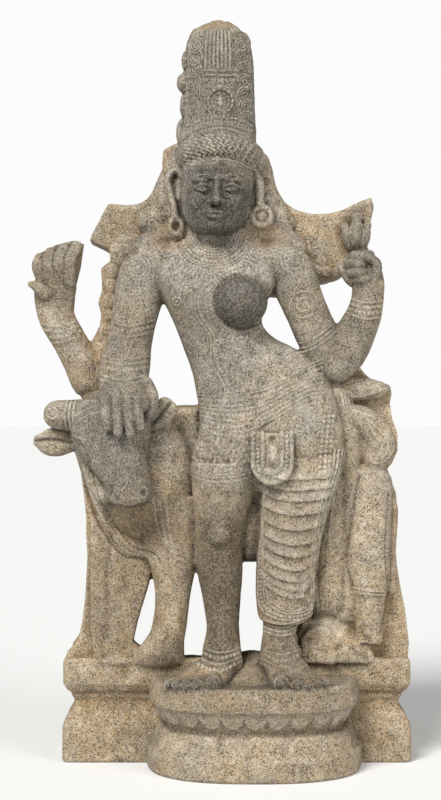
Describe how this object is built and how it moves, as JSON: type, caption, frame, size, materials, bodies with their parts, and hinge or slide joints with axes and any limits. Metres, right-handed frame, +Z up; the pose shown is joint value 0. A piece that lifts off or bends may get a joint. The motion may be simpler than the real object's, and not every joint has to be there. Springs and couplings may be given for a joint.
{
  "type": "ardhanarishvara figure",
  "caption": "Standing half-god, half-goddess stone figure leaning on a bull, with back slab and lotus plinth, all one block.",
  "frame": {"origin": "middle of the bounding box's underside, where the block stands", "axes": "+Z up, the figure faces -Y, +X to the viewer's right"},
  "size_m": [0.575, 0.287, 1.109],
  "materials": {
    "granite": "dry, weathered granite with a dark hand-worn patina on face, hand and toes and buff dust in the hollows"
  },
  "bodies": {
    "root": {"granite_figure": "granite"}
  },
  "joints": []
}
